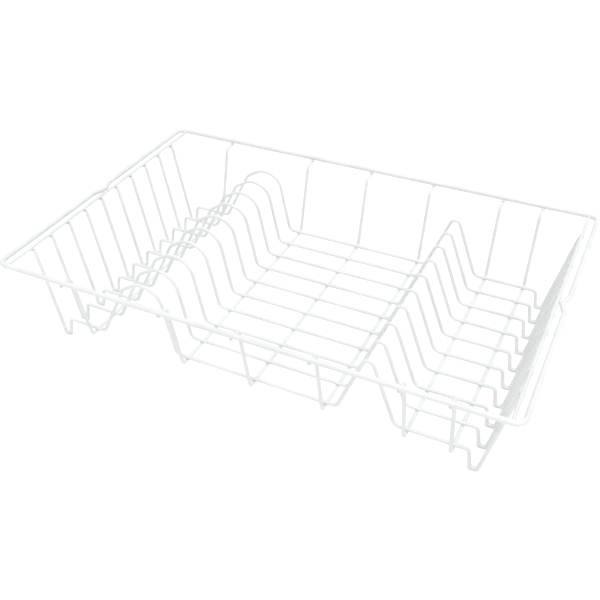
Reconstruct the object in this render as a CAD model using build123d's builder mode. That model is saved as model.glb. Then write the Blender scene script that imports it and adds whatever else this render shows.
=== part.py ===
from build123d import *
from math import sqrt
import os

# Dish drying rack bent and welded from round coated wire.
# Millimetres. X runs along the rack, Y runs front to back and Z is up.
# The origin is on the worktop, under the middle of the rack.

# ---- overall size ----
overall_length = 485.0  # outside of the rim, left to right
overall_width = 322.5  # outside of the rim, front to back
overall_height = 99.5  # worktop to the top of the rim

# ---- wire, coating included ----
rim_diameter = 5.0
wire_diameter = 3.4
wire_end_rounding = 1.0
weld_bite = 0.02  # how far two crossing wires sink into each other at a weld
rail_saddle = 0.9  # how far the hollowed end of an end rail reaches around the rim

# ---- rim and end rails ----
rim_corner_radius = 9.0
rim_notch_width = 26.0
rim_notch_bend = 5.0
rail_setback = 8.7  # rim centre to end rail centre

# ---- plate wires ----
plate_wire_count = 10
side_margin = 36.8  # rim centre to the outermost plate wire
floor_height = 20.5  # worktop to the centre of the floor wires
rail_hook_overhang = 2.2  # wire end past the end rail centre
rail_hook_length = 4.2
rail_hook_bend = 2.4
end_wall_lean = 19.8  # how far each end wall leans out from foot to rail
foot_width = 6.6
foot_step = 2.8  # lean of the foot's inner leg
ledge_bend = 4.0
left_floor_length = 41.8
right_floor_length = 63.7

# ---- round hump, left ----
round_hump_left_run = 27.8
round_hump_shoulder_height = 57.0
round_hump_apex_run = 35.5
round_hump_apex_height = 80.1
round_hump_right_run = 17.8
round_hump_foot_bend = 6.0
round_hump_shoulder_bend = 8.0
round_hump_crown_bend = 20.6
round_hump_landing_bend = 7.0

# ---- pointed hump, right ----
pointed_hump_left_run = 25.4
pointed_hump_right_run = 26.9
pointed_hump_height = 69.5
pointed_hump_foot_bend = 6.0
pointed_hump_crown_bend = 5.2
pointed_hump_landing_bend = 8.0

# ---- cross wires ----
cross_wire_corner_gap = 6.9  # outermost plate wire to the corner of a cross wire
cross_wire_corner_bend = 5.0
rim_hook_length = 13.0  # bend of a cross wire to the rim centre
rim_hook_overhang = 1.2
rim_hook_bend = 6.0
hump_foot_to_cross_wire = 10.7
ledge_to_cross_wire = 13.1

# ---- worked out from the sizes above ----
rim_radius = rim_diameter / 2
wire_radius = wire_diameter / 2

rim_x = overall_length / 2 - rim_radius
rim_y = overall_width / 2 - rim_radius
rim_z = overall_height - rim_radius
rail_x = rim_x - rail_setback
rail_z = rim_z - rim_radius + wire_radius
hook_z = rim_z - rim_radius - wire_radius + weld_bite
cross_wire_z = floor_height - 2 * wire_radius + weld_bite

# The notch in each end of the rim comes in until it meets the end rail.
notch_to_rail = sqrt((rim_radius + wire_radius) ** 2 - (rim_z - rail_z) ** 2)
notch_tip_x = rail_x + notch_to_rail - weld_bite

wall_top_x = rail_x + rail_hook_overhang - rail_hook_length
foot_outer_x = wall_top_x - end_wall_lean
foot_inner_x = foot_outer_x - foot_width
ledge_x = foot_inner_x - foot_step
foot_bend = foot_width / 2

round_hump_left_x = -ledge_x + left_floor_length
round_hump_shoulder_x = round_hump_left_x + round_hump_left_run
round_hump_apex_x = round_hump_shoulder_x + round_hump_apex_run
round_hump_right_x = round_hump_apex_x + round_hump_right_run
pointed_hump_right_x = ledge_x - right_floor_length
pointed_hump_apex_x = pointed_hump_right_x - pointed_hump_right_run
pointed_hump_left_x = pointed_hump_apex_x - pointed_hump_left_run

outer_plate_wire_y = rim_y - side_margin
plate_wire_pitch = 2 * outer_plate_wire_y / (plate_wire_count - 1)
cross_wire_corner_y = outer_plate_wire_y + cross_wire_corner_gap
rim_hook_bend_y = rim_y - rim_hook_length

bed_left_x = round_hump_right_x + hump_foot_to_cross_wire
bed_right_x = pointed_hump_left_x - hump_foot_to_cross_wire
cross_wire_x = [
    round_hump_left_x - hump_foot_to_cross_wire,
    bed_left_x,
    (bed_left_x + bed_right_x) / 2,
    bed_right_x,
    pointed_hump_right_x + hump_foot_to_cross_wire,
    ledge_x - ledge_to_cross_wire,
]

# The corners and bends of a plate wire, from its left hook to its right hook.
plate_wire_bends = [
    ((-wall_top_x, hook_z), rail_hook_bend),
    ((-foot_outer_x, wire_radius), foot_bend),
    ((-foot_inner_x, wire_radius), foot_bend),
    ((-ledge_x, floor_height), ledge_bend),
    ((round_hump_left_x, floor_height), round_hump_foot_bend),
    ((round_hump_shoulder_x, floor_height + round_hump_shoulder_height), round_hump_shoulder_bend),
    ((round_hump_apex_x, floor_height + round_hump_apex_height), round_hump_crown_bend),
    ((round_hump_right_x, floor_height), round_hump_landing_bend),
    ((pointed_hump_left_x, floor_height), pointed_hump_foot_bend),
    ((pointed_hump_apex_x, floor_height + pointed_hump_height), pointed_hump_crown_bend),
    ((pointed_hump_right_x, floor_height), pointed_hump_landing_bend),
    ((ledge_x, floor_height), ledge_bend),
    ((foot_inner_x, wire_radius), foot_bend),
    ((foot_outer_x, wire_radius), foot_bend),
    ((wall_top_x, hook_z), rail_hook_bend),
]
rail_hook_tip_x = rail_x + rail_hook_overhang

# The corners and bends of a cross wire, from its front hook to its back hook.
cross_wire_bends = [
    ((-rim_hook_bend_y, hook_z), rim_hook_bend),
    ((-cross_wire_corner_y, cross_wire_z), cross_wire_corner_bend),
    ((cross_wire_corner_y, cross_wire_z), cross_wire_corner_bend),
    ((rim_hook_bend_y, hook_z), rim_hook_bend),
]
rim_hook_tip_y = rim_y + rim_hook_overhang


def bent_wire(plane, start, bends, end, end_rounding):
    """A round wire in one plane, with a bend of its own radius at each corner."""
    corners = [corner for corner, _ in bends]
    radii = [radius for _, radius in bends]
    with BuildPart() as wire:
        with BuildLine(plane) as path:
            FilletPolyline(start, *corners, end, radius=radii)
        with BuildSketch(Plane(path.line @ 0, z_dir=path.line % 0)):
            Circle(wire_radius)
        sweep(path=path.line)
        cut_ends = wire.faces().filter_by(GeomType.PLANE)
        fillet(cut_ends.edges(), end_rounding)
    return wire


def save(piece, name):
    piece.part.label = name
    export_step(piece.part, f"parts/{name}.step")


os.makedirs("parts", exist_ok=True)

# ---- rim: one closed hoop of thicker wire ----
notch_half = rim_notch_width / 2
rim_corners = [
    (-rim_x, -rim_y),
    (rim_x, -rim_y),
    (rim_x, -notch_half),
    (notch_tip_x, 0),
    (rim_x, notch_half),
    (rim_x, rim_y),
    (-rim_x, rim_y),
    (-rim_x, notch_half),
    (-notch_tip_x, 0),
    (-rim_x, -notch_half),
]
rim_bends = [rim_corner_radius] * 2 + [rim_notch_bend] * 3
with BuildPart() as rim_wire:
    with BuildLine(Plane.XY.offset(rim_z)) as rim_path:
        FilletPolyline(*rim_corners, radius=rim_bends * 2, close=True)
    with BuildSketch(Plane(rim_path.line @ 0, z_dir=rim_path.line % 0)):
        Circle(rim_radius)
    sweep(path=rim_path.line)
save(rim_wire, "rim_wire")

# ---- end rails: straight wires across the rack, just inside the rim ----
rail_half = rim_y - rim_radius + rail_saddle
for rail_name, rail_side in (("left_end_rail", -1), ("right_end_rail", 1)):
    with BuildPart() as end_rail:
        with BuildSketch(Plane.XZ.offset(-rail_half)):
            with Locations((rail_side * rail_x, rail_z)):
                Circle(wire_radius)
        extrude(amount=2 * rail_half)
        add(rim_wire.part, mode=Mode.SUBTRACT)
    save(end_rail, rail_name)

# ---- plate wires: counted from the front ----
for index in range(plate_wire_count):
    wire_y = index * plate_wire_pitch - outer_plate_wire_y
    plate_wire = bent_wire(
        Plane.XZ.offset(-wire_y),
        (-rail_hook_tip_x, hook_z),
        plate_wire_bends,
        (rail_hook_tip_x, hook_z),
        wire_end_rounding,
    )
    save(plate_wire, f"plate_wire_{index + 1:02d}")

# ---- cross wires: counted from the left ----
for index, wire_x in enumerate(cross_wire_x):
    cross_wire = bent_wire(
        Plane.YZ.offset(wire_x),
        (-rim_hook_tip_y, hook_z),
        cross_wire_bends,
        (rim_hook_tip_y, hook_z),
        wire_end_rounding,
    )
    save(cross_wire, f"cross_wire_{index + 1}")
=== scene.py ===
import math

import bmesh
import bpy
from bpy.props import FloatProperty, FloatVectorProperty, IntProperty, PointerProperty
from bpy.types import Operator, Panel, PropertyGroup
from mathutils import Euler, Matrix, Vector, noise


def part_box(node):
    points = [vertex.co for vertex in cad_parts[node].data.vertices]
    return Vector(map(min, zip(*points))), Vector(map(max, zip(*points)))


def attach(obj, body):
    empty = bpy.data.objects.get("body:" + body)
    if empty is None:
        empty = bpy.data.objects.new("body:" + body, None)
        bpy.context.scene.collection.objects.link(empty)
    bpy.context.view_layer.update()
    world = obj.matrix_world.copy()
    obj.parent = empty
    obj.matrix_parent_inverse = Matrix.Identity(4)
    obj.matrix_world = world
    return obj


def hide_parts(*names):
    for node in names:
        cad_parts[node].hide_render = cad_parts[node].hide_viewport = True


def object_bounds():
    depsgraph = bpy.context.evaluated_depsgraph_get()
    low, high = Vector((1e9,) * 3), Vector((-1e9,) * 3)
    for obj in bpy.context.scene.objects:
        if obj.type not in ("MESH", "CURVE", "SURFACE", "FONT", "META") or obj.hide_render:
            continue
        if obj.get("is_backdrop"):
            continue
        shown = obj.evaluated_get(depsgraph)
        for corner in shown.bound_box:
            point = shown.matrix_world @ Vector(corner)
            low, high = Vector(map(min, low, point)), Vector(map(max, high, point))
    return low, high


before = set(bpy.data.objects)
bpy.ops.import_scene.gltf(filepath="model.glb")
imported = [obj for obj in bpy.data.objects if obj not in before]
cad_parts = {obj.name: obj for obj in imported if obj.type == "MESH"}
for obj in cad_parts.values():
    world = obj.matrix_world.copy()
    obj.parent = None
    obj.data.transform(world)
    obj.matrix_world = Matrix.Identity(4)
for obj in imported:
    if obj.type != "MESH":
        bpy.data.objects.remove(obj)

bl_info = {
    "name": "Dish Drying Rack",
    "version": (1, 0, 0),
    "blender": (4, 5, 0),
    "location": "View3D > Sidebar > Dish Rack",
    "description": "A one-tier drying rack of bent, welded and dip-coated wire",
    "category": "Add Mesh",
}

MM = 0.001
RIGHT_ANGLE = math.pi / 2

TIP_RINGS = 6  # rings of facets that round off a wire's tip
MERGE_DISTANCE = 0.01 * MM  # vertices closer than this are one
EDGE_CALM = 1 / 5  # share of the unevenness span over which straying starts from the outer faces
BEAD_SEGMENTS, BEAD_RINGS = 16, 10
BEAD_RISE = 0.3  # how far a hook's bead sits above its seam, as a share of its depth
RIM_BEAD_INSET = 0.45  # how far a bead sits inside the rim's centre, as a share of its reach
RAIL_BEAD_INSET = 0.35  # how far a bead sits inside the rail's centre, as a share of its width
THIN_PATCHES = (0.42, 0.68)  # noise from thick coating to thin
DULL_PATCHES = (0.35, 0.7)  # noise from clean coating to handled
SCUFF_HEIGHT = 0.7 * MM
SCUFF_STRENGTH = 0.8
COATING_IOR = 1.48
COATING_SHEEN = 0.08
COATING_SHEEN_ROUGHNESS = 0.12
WORKTOP_ROUGHNESS = 0.7
MATT_SPECULAR = 0.2
KEY_OFFSET = (1.0, -0.7, 4.8)  # metres from the middle of the rack to the soft box
KEY_WIDTH = 5.0

RIM_NODE = "rim_wire"
RAIL_NODES = ("left_end_rail", "right_end_rail")
PLATE_WIRE_NODES = sorted(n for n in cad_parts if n.startswith("plate_wire"))
CROSS_WIRE_NODES = sorted(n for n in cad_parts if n.startswith("cross_wire"))
BODY = "root"

CAD_LOW, CAD_HIGH = (Vector(corner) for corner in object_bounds())


# ---------------------------------------------------------------- sizes


def length(name, description, millimetres):
    """A length that the user sets, given here in millimetres."""
    return FloatProperty(
        name=name,
        description=description,
        default=millimetres * MM,
        min=0.0,
        precision=5,
        subtype="DISTANCE",
        unit="LENGTH",
    )


def share(name, description, default):
    """A number from 0 to 1 that the user sets."""
    return FloatProperty(
        name=name, description=description, default=default, min=0.0, max=1.0, subtype="FACTOR"
    )


def colour(name, description, default):
    """A colour that the user sets."""
    return FloatVectorProperty(
        name=name,
        description=description,
        default=default,
        size=3,
        min=0.0,
        max=1.0,
        subtype="COLOR",
    )


class RimSizes(PropertyGroup):
    """The thick hoop round the top of the rack."""

    corner_bend: length("Corner bend", "Bend radius of the four corners", 9.0)
    notch_width: length("Notch width", "Width of the notch in the middle of each end", 26.0)
    notch_bend: length("Notch bend", "Bend radius of the notch", 5.0)
    sides: IntProperty(name="Sides", description="Faces round the rim wire", default=28, min=8)


class PlateWireSizes(PropertyGroup):
    """The long wires that carry the humps and the feet."""

    floor_height: length("Floor height", "Worktop to the centre of the floor wires", 20.5)
    hook_length: length("Hook length", "Bend of the hook to the wire's tip", 4.2)
    hook_bend: length("Hook bend", "Bend radius under the end rail", 2.4)
    end_wall_lean: length("End wall lean", "How far the end walls lean out", 19.8)
    foot_width: length("Foot width", "Corner to corner of the U foot", 6.6)
    foot_step: length("Foot step", "Lean of the foot's inner leg", 2.8)
    ledge_bend: length("Ledge bend", "Bend radius from the foot to the floor", 4.0)
    left_floor: length("Left floor", "Floor between the left foot and the round hump", 41.8)
    right_floor: length("Right floor", "Floor between the pointed hump and the right foot", 63.7)
    round_left_run: length("Round hump left run", "Foot to shoulder", 27.8)
    round_shoulder_height: length("Round hump shoulder height", "Floor to shoulder", 57.0)
    round_apex_run: length("Round hump apex run", "Shoulder to apex", 35.5)
    round_apex_height: length("Round hump apex height", "Floor to the corner of the apex", 80.1)
    round_right_run: length("Round hump right run", "Apex to landing", 17.8)
    round_foot_bend: length("Round hump foot bend", "Bend radius at the left foot", 6.0)
    round_shoulder_bend: length("Round hump shoulder bend", "Bend radius of the shoulder", 8.0)
    round_crown_bend: length("Round hump crown bend", "Bend radius of the crown", 20.6)
    round_landing_bend: length("Round hump landing bend", "Bend radius at the bed", 7.0)
    pointed_left_run: length("Pointed hump left run", "Foot to apex", 25.4)
    pointed_right_run: length("Pointed hump right run", "Apex to landing", 26.9)
    pointed_height: length("Pointed hump height", "Floor to the corner of the apex", 69.5)
    pointed_foot_bend: length("Pointed hump foot bend", "Bend radius at the bed", 6.0)
    pointed_crown_bend: length("Pointed hump crown bend", "Bend radius of the crown", 5.2)
    pointed_landing_bend: length("Pointed hump landing bend", "Bend radius at the right", 8.0)


class CrossWireSizes(PropertyGroup):
    """The wires that run across the rack under the floor wires."""

    corner_gap: length("Corner gap", "Outermost plate wire to the corner of a cross wire", 6.9)
    corner_bend: length("Corner bend", "Bend radius from the floor to the side wall", 5.0)
    hook_length: length("Hook length", "Bend of the hook to the wire's tip", 14.2)
    hook_bend: length("Hook bend", "Bend radius under the rim", 6.0)


class WireMaking(PropertyGroup):
    """What every wire shares: its facets, its welds and its small unevenness."""

    sides: IntProperty(name="Sides", description="Faces round a thin wire", default=20, min=8)
    run_step: length("Run step", "Longest facet along a straight run", 9.0)
    bend_step: FloatProperty(
        name="Bend step",
        description="Largest turn of one facet in a bend",
        default=math.radians(11.0),
        subtype="ANGLE",
        unit="ROTATION",
    )
    tip_swell: share("Tip swell", "How much thicker the coating is at a wire's tip", 0.05)
    weld_spread: length("Weld spread", "Width of the coating in the crease of a weld", 3.5)
    weld_depth: length("Weld depth", "Thickness of the coating in the crease of a weld", 1.5)
    fillet_reach: length("Fillet reach", "Length of the coating on a hook, beside the rim", 4.2)
    fillet_depth: length("Fillet depth", "Thickness of the coating on a hook, beside the rim", 1.9)
    unevenness: length("Unevenness", "How far the bent wires stray from true", 0.35)
    unevenness_span: length("Unevenness span", "Distance over which the straying changes", 95.0)
    unevenness_seed: IntProperty(
        name="Unevenness seed", description="Which unevenness is drawn", default=7, min=1
    )


class CoatingFinish(PropertyGroup):
    """The white plastic coating that the rack is dipped in."""

    white: colour("White", "Coating where it is thick", (0.700, 0.718, 0.716))
    thin_white: colour("Thin white", "Coating where it is thin", (0.655, 0.673, 0.671))
    scuff_grey: colour("Scuff grey", "Rubbed coating under the feet", (0.58, 0.58, 0.56))
    gloss_roughness: share("Gloss roughness", "Roughness of clean coating", 0.30)
    dull_roughness: share("Dull roughness", "Roughness of handled coating", 0.46)
    patch_size: length("Patch size", "Width of the thick and thin patches", 26.0)
    handled_size: length("Handled size", "Width of the dull patches", 14.0)
    wave_size: length("Wave size", "Width of the slow waves that the dip leaves", 7.0)
    wave_depth: length("Wave depth", "Depth of the slow waves", 0.10)
    peel_size: length("Peel size", "Width of the orange-peel grain", 1.1)
    peel_depth: length("Peel depth", "Depth of the orange-peel grain", 0.035)


class StageSizes(PropertyGroup):
    """The floor, the lights and the camera."""

    floor_width: length("Floor width", "Side of the square floor", 9000.0)
    floor_colour: colour("Floor colour", "Pale matt floor", (0.96, 0.96, 0.96))
    sky_colour: colour("Sky colour", "Light from all round", (1.0, 1.0, 1.0))
    sky_strength: FloatProperty(
        name="Sky strength", description="Strength of the light from all round", default=0.80
    )
    key_power: FloatProperty(
        name="Key power",
        description="Large soft box above, a little to the right and to the front",
        default=190.0,
        unit="POWER",
    )
    camera_place: FloatVectorProperty(
        name="Camera place",
        description="Where the camera stands",
        default=(0.27315, -0.60942, 0.51631),
        size=3,
        subtype="TRANSLATION",
        unit="LENGTH",
    )
    camera_turn: FloatProperty(
        name="Camera turn",
        description="Turn to the left of straight along the rack's width",
        default=0.477,
        subtype="ANGLE",
        unit="ROTATION",
    )
    camera_tilt: FloatProperty(
        name="Camera tilt",
        description="Tilt below level",
        default=0.633,
        subtype="ANGLE",
        unit="ROTATION",
    )
    camera_roll: FloatProperty(
        name="Camera roll",
        description="Roll to the right",
        default=-0.018,
        subtype="ANGLE",
        unit="ROTATION",
    )
    camera_lens: FloatProperty(
        name="Camera lens", description="Focal length in millimetres", default=49.68, unit="CAMERA"
    )
    camera_shift: FloatProperty(
        name="Camera shift", description="Sideways shift as a share of the frame", default=0.05
    )


# ---------------------------------------------------------------- wire bending


def ring_edges(geometry):
    """The edges of the newest ring of a wire, from what an extrusion returned."""
    new_verts = {item for item in geometry if isinstance(item, bmesh.types.BMVert)}
    edges = (item for item in geometry if isinstance(item, bmesh.types.BMEdge))
    return [edge for edge in edges if all(vert in new_verts for vert in edge.verts)]


def ring_verts(edges):
    """The vertices of a ring of edges, in the same order on every run."""
    return list(dict.fromkeys(vert for edge in edges for vert in edge.verts))


def feed(bm, ring, travel, longest_step):
    """Feeds a straight run of wire out along travel."""
    steps = max(1, math.ceil(travel.length / longest_step))
    for _ in range(steps):
        extruded = bmesh.ops.extrude_edge_only(bm, edges=ring)
        ring = ring_edges(extruded["geom"])
        bmesh.ops.translate(bm, verts=ring_verts(ring), vec=travel / steps)
    return ring


def bend(bm, ring, centre, axis, angle, largest_step):
    """Bends the wire round a mandrel that stands at centre."""
    steps = max(2, math.ceil(angle / largest_step))
    spun = bmesh.ops.spin(
        bm,
        geom=ring_verts(ring) + ring,
        cent=centre,
        axis=axis,
        angle=angle,
        steps=steps,
        use_duplicate=False,
    )
    return [item for item in spun["geom_last"] if isinstance(item, bmesh.types.BMEdge)]


def start_ring(bm, place, direction, radius, sides):
    """The ring of edges that a wire starts from."""
    turn = direction.to_track_quat("Z", "Y").to_matrix().to_4x4()
    circle = bmesh.ops.create_circle(
        bm, cap_ends=False, radius=radius, segments=sides, matrix=Matrix.Translation(place) @ turn
    )
    return list(dict.fromkeys(edge for vert in circle["verts"] for edge in vert.link_edges))


def round_off(bm, ring, place, direction, radius, swell):
    """Closes a wire's tip with the rounded, slightly thick end that dip coating leaves."""
    step_angle = RIGHT_ANGLE / (TIP_RINGS + 1)
    girth = radius
    for step in range(1, TIP_RINGS + 1):
        angle = step * step_angle
        new_girth = radius * math.cos(angle) * (1 + swell * math.sin(2 * angle))
        rise = radius * (math.sin(angle) - math.sin(angle - step_angle))
        extruded = bmesh.ops.extrude_edge_only(bm, edges=ring)
        ring = ring_edges(extruded["geom"])
        verts = ring_verts(ring)
        scale = new_girth / girth
        bmesh.ops.scale(bm, verts=verts, vec=(scale,) * 3, space=Matrix.Translation(-place))
        bmesh.ops.translate(bm, verts=verts, vec=direction * rise)
        place = place + direction * rise
        girth = new_girth
    bmesh.ops.edgeloop_fill(bm, edges=ring)


def follow(bm, ring, place, route, last, making):
    """Takes the wire through each (corner, bend radius) of its route and on to its last point."""
    corners = [corner for corner, _ in route] + [last]
    for index, (corner, radius) in enumerate(route):
        inward = (corner - place).normalized()
        outward = (corners[index + 1] - corner).normalized()
        angle = inward.angle(outward)
        tangent = radius * math.tan(angle / 2)
        bend_start = corner - inward * tangent
        side = (outward - inward * inward.dot(outward)).normalized()
        ring = feed(bm, ring, bend_start - place, making.run_step)
        ring = bend(
            bm, ring, bend_start + side * radius, inward.cross(side), angle, making.bend_step
        )
        place = corner + outward * tangent
    return feed(bm, ring, last - place, making.run_step)


def tipped_wire(bm, first, route, last, radius, making):
    """A wire with two rounded tips. The tips reach exactly to the first and last points."""
    out_of_start = (route[0][0] - first).normalized() if route else (last - first).normalized()
    into_end = (last - route[-1][0]).normalized() if route else out_of_start
    start, end = first + out_of_start * radius, last - into_end * radius
    ring = start_ring(bm, start, out_of_start, radius, making.sides)
    final_ring = follow(bm, ring, start, route, end, making)
    round_off(bm, ring, start, -out_of_start, radius, making.tip_swell)
    round_off(bm, final_ring, end, into_end, radius, making.tip_swell)


def fade(distance, span):
    """0 at the edge of the rack, rising smoothly to 1 at span inside it."""
    t = min(max(distance / span, 0.0), 1.0)
    return t * t * (3 - 2 * t)


def straying(place, making):
    """How far the bent rack strays from true at a place, and nothing at its outer faces."""
    drift = noise.noise_vector(place / making.unevenness_span) * making.unevenness
    for axis in range(3):
        room = min(place[axis] - CAD_LOW[axis], CAD_HIGH[axis] - place[axis])
        drift[axis] *= fade(room, making.unevenness_span * EDGE_CALM)
    return drift


def finish_piece(bm, name, nodes, making, material):
    """Turns a bmesh into a finished piece that rides on the rack and stands for its CAD nodes."""
    bmesh.ops.remove_doubles(bm, verts=bm.verts, dist=MERGE_DISTANCE)
    bmesh.ops.recalc_face_normals(bm, faces=bm.faces)
    # Without a seed the noise starts from the clock, and every run would bend another rack.
    noise.seed_set(making.unevenness_seed)
    for vert in bm.verts:
        vert.co += straying(vert.co, making)
    for face in bm.faces:
        face.smooth = True
    mesh = bpy.data.meshes.new(name)
    bm.to_mesh(mesh)
    bm.free()
    mesh.materials.append(material)
    piece = bpy.data.objects.new(name, mesh)
    bpy.context.scene.collection.objects.link(piece)
    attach(piece, BODY)
    if nodes:
        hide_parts(*nodes)
    return piece


def centre_of(node):
    """The middle of a CAD node's box."""
    low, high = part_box(node)
    return (low + high) / 2


# ---------------------------------------------------------------- coating


def noise_texture(tree, coordinates, feature_size, detail, location):
    """A noise whose features are about feature_size wide, in metres."""
    texture = tree.nodes.new("ShaderNodeTexNoise")
    texture.location = location
    texture.inputs["Scale"].default_value = 1 / feature_size
    texture.inputs["Detail"].default_value = detail
    tree.links.new(coordinates, texture.inputs["Vector"])
    return texture.outputs["Fac"]


def map_range(tree, value, from_range, to_range, location):
    """Maps a value from one range to another, clamped."""
    node = tree.nodes.new("ShaderNodeMapRange")
    node.location = location
    node.inputs["From Min"].default_value, node.inputs["From Max"].default_value = from_range
    node.inputs["To Min"].default_value, node.inputs["To Max"].default_value = to_range
    tree.links.new(value, node.inputs["Value"])
    return node.outputs["Result"]


def mix_colours(tree, factor, first, second, location):
    """Mixes two colours. Each is a colour or another node's output."""
    node = tree.nodes.new("ShaderNodeMix")
    node.location = location
    node.data_type = "RGBA"
    tree.links.new(factor, node.inputs["Factor"])
    for socket, value in ((node.inputs[6], first), (node.inputs[7], second)):
        if isinstance(value, bpy.types.NodeSocket):
            tree.links.new(value, socket)
        else:
            socket.default_value = (*value, 1.0)
    return node.outputs[2]


def add_bump(tree, height, depth, normal, location):
    """A bump of the given depth in metres on top of another normal."""
    node = tree.nodes.new("ShaderNodeBump")
    node.location = location
    node.inputs["Strength"].default_value = 1.0
    node.inputs["Distance"].default_value = depth
    tree.links.new(height, node.inputs["Height"])
    if normal is not None:
        tree.links.new(normal, node.inputs["Normal"])
    return node.outputs["Normal"]


def coating_material():
    """White dip coating: thick and thin patches, handled dull spots, slow waves and fine grain."""
    name = "white_dip_coating"
    if name in bpy.data.materials:
        return bpy.data.materials[name]
    finish = bpy.context.scene.rack_coating
    material = bpy.data.materials.new(name)
    material.use_nodes = True
    tree = material.node_tree
    shader = tree.nodes["Principled BSDF"]
    coordinates = tree.nodes.new("ShaderNodeTexCoord")
    coordinates.location = (-1400, 0)
    place = coordinates.outputs["Object"]

    patches = noise_texture(tree, place, finish.patch_size, 3.0, (-1100, 300))
    thinness = map_range(tree, patches, THIN_PATCHES, (0.0, 1.0), (-900, 300))
    white = mix_colours(tree, thinness, finish.white, finish.thin_white, (-700, 300))

    split = tree.nodes.new("ShaderNodeSeparateXYZ")
    split.location = (-1200, 600)
    tree.links.new(place, split.inputs["Vector"])
    under_feet = map_range(
        tree, split.outputs["Z"], (0.0, SCUFF_HEIGHT), (SCUFF_STRENGTH, 0.0), (-900, 600)
    )
    coated = mix_colours(tree, under_feet, white, finish.scuff_grey, (-450, 400))
    tree.links.new(coated, shader.inputs["Base Color"])

    handled = noise_texture(tree, place, finish.handled_size, 4.0, (-1100, 0))
    roughness = map_range(
        tree, handled, DULL_PATCHES, (finish.gloss_roughness, finish.dull_roughness), (-900, 0)
    )
    tree.links.new(roughness, shader.inputs["Roughness"])

    waves = noise_texture(tree, place, finish.wave_size, 1.0, (-1100, -300))
    grain = noise_texture(tree, place, finish.peel_size, 2.0, (-1100, -550))
    wavy = add_bump(tree, waves, finish.wave_depth, None, (-700, -300))
    grained = add_bump(tree, grain, finish.peel_depth, wavy, (-450, -400))
    tree.links.new(grained, shader.inputs["Normal"])

    shader.inputs["IOR"].default_value = COATING_IOR
    shader.inputs["Coat Weight"].default_value = COATING_SHEEN
    shader.inputs["Coat Roughness"].default_value = COATING_SHEEN_ROUGHNESS
    return material


# ---------------------------------------------------------------- pieces


class RACK_OT_rim(Operator):
    """Bends the thick rim hoop, with a notch in each end that meets the end rail"""

    bl_idname = "rack.rim"
    bl_label = "Rim"

    def execute(self, context):
        sizes, making = context.scene.rack_rim, context.scene.rack_making
        low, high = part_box(RIM_NODE)
        radius = (high.z - low.z) / 2
        height = low.z + radius
        side_x, side_y = high.x - radius, high.y - radius
        notch_half = sizes.notch_width / 2
        rail_low, rail_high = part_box(RAIL_NODES[1])
        rail_radius = (rail_high.x - rail_low.x) / 2
        drop = height - (rail_low.z + rail_radius)
        notch_x = rail_low.x + rail_radius + math.sqrt((radius + rail_radius) ** 2 - drop**2)

        route = []
        for end in (1, -1):
            route += [
                (Vector((end * side_x, -end * side_y, height)), sizes.corner_bend),
                (Vector((end * side_x, -end * notch_half, height)), sizes.notch_bend),
                (Vector((end * notch_x, 0, height)), sizes.notch_bend),
                (Vector((end * side_x, end * notch_half, height)), sizes.notch_bend),
                (Vector((end * side_x, end * side_y, height)), sizes.corner_bend),
            ]
        front_middle = Vector((0, -side_y, height))
        bm = bmesh.new()
        ring = start_ring(bm, front_middle, Vector((1, 0, 0)), radius, sizes.sides)
        follow(bm, ring, front_middle, route, front_middle, making)
        finish_piece(bm, "rim_hoop", [RIM_NODE], making, coating_material())
        return {"FINISHED"}


class RACK_OT_end_rails(Operator):
    """Lays the straight rails across the rack, just inside the ends of the rim"""

    bl_idname = "rack.end_rails"
    bl_label = "End Rails"

    def execute(self, context):
        making = context.scene.rack_making
        for node in RAIL_NODES:
            low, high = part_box(node)
            radius = (high.x - low.x) / 2
            middle = centre_of(node)
            front, back = (Vector((middle.x, y, middle.z)) for y in (low.y, high.y))
            bm = bmesh.new()
            tipped_wire(bm, front, [], back, radius, making)
            name = node.replace("end_rail", "rail_bar")
            finish_piece(bm, name, [node], making, coating_material())
        return {"FINISHED"}


def plate_wire_route(y, hook_height, tip_x, radius, sizes):
    """The corners and bends of a plate wire, from its left hook to its right hook."""
    floor = sizes.floor_height
    wall_top = tip_x - sizes.hook_length
    foot_outer = wall_top - sizes.end_wall_lean
    foot_inner = foot_outer - sizes.foot_width
    ledge = foot_inner - sizes.foot_step
    foot_bend = sizes.foot_width / 2
    round_left = -ledge + sizes.left_floor
    shoulder = round_left + sizes.round_left_run
    round_apex = shoulder + sizes.round_apex_run
    round_right = round_apex + sizes.round_right_run
    pointed_right = ledge - sizes.right_floor
    pointed_apex = pointed_right - sizes.pointed_right_run
    pointed_left = pointed_apex - sizes.pointed_left_run
    profile = [
        (-wall_top, hook_height, sizes.hook_bend),
        (-foot_outer, radius, foot_bend),
        (-foot_inner, radius, foot_bend),
        (-ledge, floor, sizes.ledge_bend),
        (round_left, floor, sizes.round_foot_bend),
        (shoulder, floor + sizes.round_shoulder_height, sizes.round_shoulder_bend),
        (round_apex, floor + sizes.round_apex_height, sizes.round_crown_bend),
        (round_right, floor, sizes.round_landing_bend),
        (pointed_left, floor, sizes.pointed_foot_bend),
        (pointed_apex, floor + sizes.pointed_height, sizes.pointed_crown_bend),
        (pointed_right, floor, sizes.pointed_landing_bend),
        (ledge, floor, sizes.ledge_bend),
        (foot_inner, radius, foot_bend),
        (foot_outer, radius, foot_bend),
        (wall_top, hook_height, sizes.hook_bend),
    ]
    return [(Vector((x, y, z)), bend_radius) for x, z, bend_radius in profile]


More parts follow.
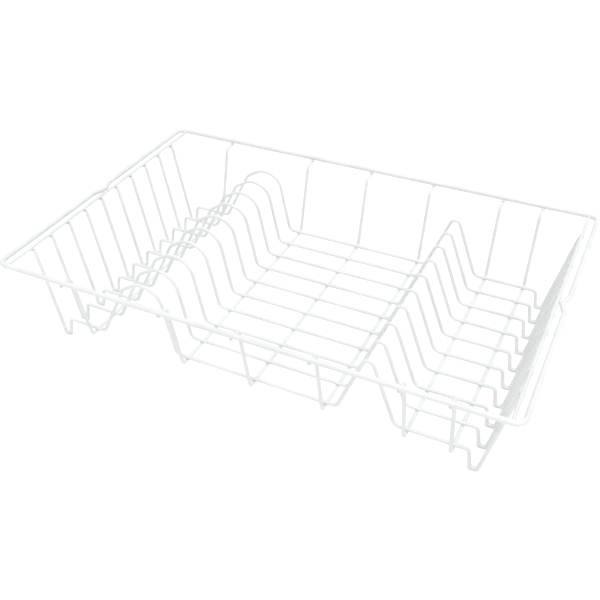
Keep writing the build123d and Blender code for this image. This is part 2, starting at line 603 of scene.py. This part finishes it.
class RACK_OT_plate_wires(Operator):
    """Bends the long wires: feet, floor, round humps and pointed humps"""

    bl_idname = "rack.plate_wires"
    bl_label = "Plate Wires"

    def execute(self, context):
        sizes, making = context.scene.rack_plate_wires, context.scene.rack_making
        for node in PLATE_WIRE_NODES:
            low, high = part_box(node)
            radius = (high.y - low.y) / 2
            y = low.y + radius
            hook_height = high.z - radius
            left_tip, right_tip = (Vector((x, y, hook_height)) for x in (low.x, high.x))
            route = plate_wire_route(y, hook_height, high.x, radius, sizes)
            bm = bmesh.new()
            tipped_wire(bm, left_tip, route, right_tip, radius, making)
            finish_piece(bm, node.replace("plate", "humped"), [node], making, coating_material())
        return {"FINISHED"}


class RACK_OT_cross_wires(Operator):
    """Bends the wires that run across under the floor and hook under the rim"""

    bl_idname = "rack.cross_wires"
    bl_label = "Cross Wires"

    def execute(self, context):
        sizes, making = context.scene.rack_cross_wires, context.scene.rack_making
        corner_y = centre_of(PLATE_WIRE_NODES[-1]).y + sizes.corner_gap
        for node in CROSS_WIRE_NODES:
            low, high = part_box(node)
            radius = (high.x - low.x) / 2
            x = low.x + radius
            floor, hook_height = low.z + radius, high.z - radius
            hook_y = high.y - sizes.hook_length
            front_tip, back_tip = (Vector((x, y, hook_height)) for y in (low.y, high.y))
            route = [
                (Vector((x, -hook_y, hook_height)), sizes.hook_bend),
                (Vector((x, -corner_y, floor)), sizes.corner_bend),
                (Vector((x, corner_y, floor)), sizes.corner_bend),
                (Vector((x, hook_y, hook_height)), sizes.hook_bend),
            ]
            bm = bmesh.new()
            tipped_wire(bm, front_tip, route, back_tip, radius, making)
            finish_piece(bm, node.replace("cross", "under"), [node], making, coating_material())
        return {"FINISHED"}


def weld_beads(name, places, size, making, material):
    """The coating that gathers in the crease of each weld, one flattened bead a place."""
    bm = bmesh.new()
    stretch = Matrix.Diagonal((*(size / 2), 1))
    for place in places:
        bmesh.ops.create_uvsphere(
            bm,
            u_segments=BEAD_SEGMENTS,
            v_segments=BEAD_RINGS,
            radius=1.0,
            matrix=Matrix.Translation(place) @ stretch,
        )
    return finish_piece(bm, name, [], making, material)


class RACK_OT_welds(Operator):
    """Fills the creases where the wires are welded to each other, to the rails and to the rim"""

    bl_idname = "rack.welds"
    bl_label = "Welds"

    def execute(self, context):
        making = context.scene.rack_making
        spread, reach, fillet = making.weld_spread, making.fillet_reach, making.fillet_depth
        floor_bead = Vector((spread, spread, making.weld_depth))
        rim_bead = Vector((spread, reach, fillet))
        rail_bead = Vector((spread, spread, fillet))
        material = coating_material()
        across = [centre_of(node).x for node in CROSS_WIRE_NODES]
        along = [centre_of(node).y for node in PLATE_WIRE_NODES]
        cross_low, cross_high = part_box(CROSS_WIRE_NODES[0])
        radius = (cross_high.x - cross_low.x) / 2
        floor_seam = cross_low.z + 2 * radius
        floor_places = [Vector((x, y, floor_seam)) for x in across for y in along]
        weld_beads("floor_weld_beads", floor_places, floor_bead, making, material)

        # The hooks' beads sit on the inner side of the rim and the rails, where the coating pools.
        rim_low, rim_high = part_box(RIM_NODE)
        rim_radius = (rim_high.z - rim_low.z) / 2
        rim_y = rim_high.y - rim_radius - reach * RIM_BEAD_INSET
        rim_seam = rim_low.z + fillet * BEAD_RISE
        rim_places = [Vector((x, side * rim_y, rim_seam)) for x in across for side in (-1, 1)]
        weld_beads("rim_weld_beads", rim_places, rim_bead, making, material)

        rail_x = centre_of(RAIL_NODES[1]).x - spread * RAIL_BEAD_INSET
        rail_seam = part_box(RAIL_NODES[1])[0].z + fillet * BEAD_RISE
        rail_places = [Vector((side * rail_x, y, rail_seam)) for side in (-1, 1) for y in along]
        weld_beads("rail_weld_beads", rail_places, rail_bead, making, material)
        return {"FINISHED"}


# ---------------------------------------------------------------- stage


def plain_material(name, shade, roughness):
    """A plain matt surface for the stage."""
    material = bpy.data.materials.new(name)
    material.use_nodes = True
    shader = material.node_tree.nodes["Principled BSDF"]
    shader.inputs["Base Color"].default_value = (*shade, 1.0)
    shader.inputs["Roughness"].default_value = roughness
    shader.inputs["Specular IOR Level"].default_value = MATT_SPECULAR
    return material


def soft_box(name, place, target, side, power):
    """A square soft box at place, aimed at target."""
    light = bpy.data.lights.new(name, "AREA")
    light.shape = "SQUARE"
    light.size = side
    light.energy = power
    lamp = bpy.data.objects.new(name, light)
    lamp.location = place
    lamp.rotation_euler = (target - place).to_track_quat("-Z", "Y").to_euler()
    bpy.context.scene.collection.objects.link(lamp)
    return lamp


class RACK_OT_stage(Operator):
    """Sets up the pale floor, the soft light and the camera"""

    bl_idname = "rack.stage"
    bl_label = "Stage"

    def execute(self, context):
        stage = context.scene.rack_stage
        bm = bmesh.new()
        bmesh.ops.create_grid(
            bm,
            x_segments=1,
            y_segments=1,
            size=stage.floor_width / 2,
            matrix=Matrix.Translation((0, 0, CAD_LOW.z)),
        )
        mesh = bpy.data.meshes.new("worktop")
        bm.to_mesh(mesh)
        bm.free()
        mesh.materials.append(plain_material("pale_worktop", stage.floor_colour, WORKTOP_ROUGHNESS))
        worktop = bpy.data.objects.new("worktop", mesh)
        context.scene.collection.objects.link(worktop)
        worktop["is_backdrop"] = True

        world = bpy.data.worlds.new("soft_sky")
        context.scene.world = world
        world.use_nodes = True
        background = world.node_tree.nodes["Background"]
        background.inputs["Color"].default_value = (*stage.sky_colour, 1.0)
        background.inputs["Strength"].default_value = stage.sky_strength

        middle = (CAD_LOW + CAD_HIGH) / 2
        soft_box("key_box", middle + Vector(KEY_OFFSET), middle, KEY_WIDTH, stage.key_power)

        lens = bpy.data.cameras.new("camera")
        lens.lens = stage.camera_lens
        lens.shift_x = stage.camera_shift
        camera = bpy.data.objects.new("camera", lens)
        camera.location = stage.camera_place
        aim = Euler((RIGHT_ANGLE - stage.camera_tilt, 0, stage.camera_turn)).to_matrix()
        roll = Matrix.Rotation(stage.camera_roll, 3, "Z")
        camera.rotation_euler = (aim @ roll).to_euler()
        context.scene.collection.objects.link(camera)
        context.scene.camera = camera
        context.scene.view_settings.view_transform = "Standard"
        return {"FINISHED"}


# ---------------------------------------------------------------- panel and registration

GROUPS = {
    "rack_rim": RimSizes,
    "rack_plate_wires": PlateWireSizes,
    "rack_cross_wires": CrossWireSizes,
    "rack_making": WireMaking,
    "rack_coating": CoatingFinish,
    "rack_stage": StageSizes,
}
OPERATORS = (
    RACK_OT_rim,
    RACK_OT_end_rails,
    RACK_OT_plate_wires,
    RACK_OT_cross_wires,
    RACK_OT_welds,
    RACK_OT_stage,
)


class RACK_PT_sidebar(Panel):
    """Lists the rack's sizes and the operators that make its pieces"""

    bl_idname = "RACK_PT_sidebar"
    bl_label = "Dish Rack"
    bl_space_type = "VIEW_3D"
    bl_region_type = "UI"
    bl_category = "Dish Rack"

    def draw(self, context):
        for operator in OPERATORS:
            self.layout.operator(operator.bl_idname)
        for name, group in GROUPS.items():
            box = self.layout.box()
            for size in group.__annotations__:
                box.prop(getattr(context.scene, name), size)


def register():
    for group in GROUPS.values():
        bpy.utils.register_class(group)
    for operator in OPERATORS:
        bpy.utils.register_class(operator)
    bpy.utils.register_class(RACK_PT_sidebar)
    for name, group in GROUPS.items():
        setattr(bpy.types.Scene, name, PointerProperty(type=group))


def unregister():
    for name in GROUPS:
        delattr(bpy.types.Scene, name)
    bpy.utils.unregister_class(RACK_PT_sidebar)
    for operator in reversed(OPERATORS):
        bpy.utils.unregister_class(operator)
    for group in GROUPS.values():
        bpy.utils.unregister_class(group)


def main():
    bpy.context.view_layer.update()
    register()
    bpy.ops.rack.rim()
    bpy.ops.rack.end_rails()
    bpy.ops.rack.plate_wires()
    bpy.ops.rack.cross_wires()
    bpy.ops.rack.welds()
    bpy.ops.rack.stage()


if __name__ == "__main__":
    main()
